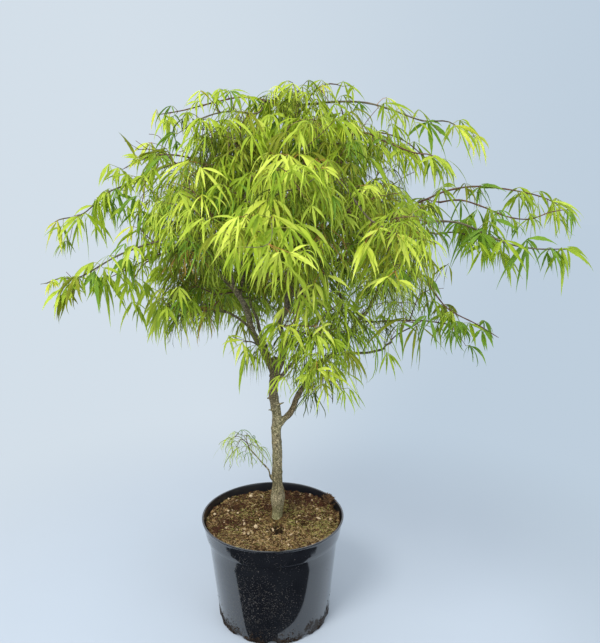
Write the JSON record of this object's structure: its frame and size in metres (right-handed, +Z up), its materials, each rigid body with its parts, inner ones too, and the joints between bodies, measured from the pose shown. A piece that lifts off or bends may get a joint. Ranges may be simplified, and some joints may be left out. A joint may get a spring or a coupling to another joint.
{
  "type": "potted thread-leaf japanese maple",
  "caption": "Small grafted Japanese maple with a mounded, weeping crown of long narrow-lobed leaves and arching side shoots, in a round black nursery pot of compost.",
  "frame": {"origin": "centre of the pot's flat underside, where it stands", "axes": "+Z up along the trunk, +X to the tree's right with its longest side shoots, +Y to its back"},
  "size_m": [1.0205, 0.6456, 1.075],
  "materials": {
    "pot_plastic": "satin",
    "compost": "matte",
    "bark": "matte",
    "shoot": "satin",
    "leaf": "satin"
  },
  "bodies": {
    "root": {"arm_left_lower": "leaf", "arm_left_upper": "leaf", "arm_low_right": "leaf", "arm_right_high": "leaf", "arm_right_lower": "leaf", "arm_right_upper": "leaf", "arm_top_left": "leaf", "arm_top_right": "leaf", "bough_back": "bark", "bough_back_left": "bark", "bough_back_mid": "bark", "bough_front": "bark", "bough_front_left": "bark", "bough_front_low": "bark", "bough_front_right": "bark", "bough_front_tuft": "shoot", "bough_leader": "bark", "bough_left": "bark", "bough_left_low": "bark", "bough_low_shoot": "shoot", "bough_right": "bark", "bough_right_front": "bark", "bough_right_low": "bark", "bough_right_mid": "bark", "bough_right_up": "bark", "mass_back": "leaf", "mass_back_left": "leaf", "mass_back_right": "leaf", "mass_back_spray_left": "leaf", "mass_back_spray_right": "leaf", "mass_front": "leaf", "mass_front_high": "leaf", "mass_front_left": "leaf", "mass_front_right": "leaf", "mass_front_spray_left": "leaf", "mass_front_spray_right": "leaf", "mass_left": "leaf", "mass_low_spray": "leaf", "mass_right": "leaf", "mass_skirt_back": "leaf", "mass_skirt_back_left": "leaf", "mass_skirt_back_right": "leaf", "mass_skirt_front": "leaf", "mass_skirt_front_right": "leaf", "mass_skirt_left": "leaf", "mass_skirt_right": "leaf", "mass_top": "leaf", "mass_tuft": "leaf", "mass_twig_left": "leaf", "mass_upper_back_left": "leaf", "mass_upper_back_right": "leaf", "mass_upper_front": "leaf", "mass_upper_left": "leaf", "mass_upper_right": "leaf", "pot": "pot_plastic", "soil": "compost", "trunk": "bark"}
  },
  "joints": []
}
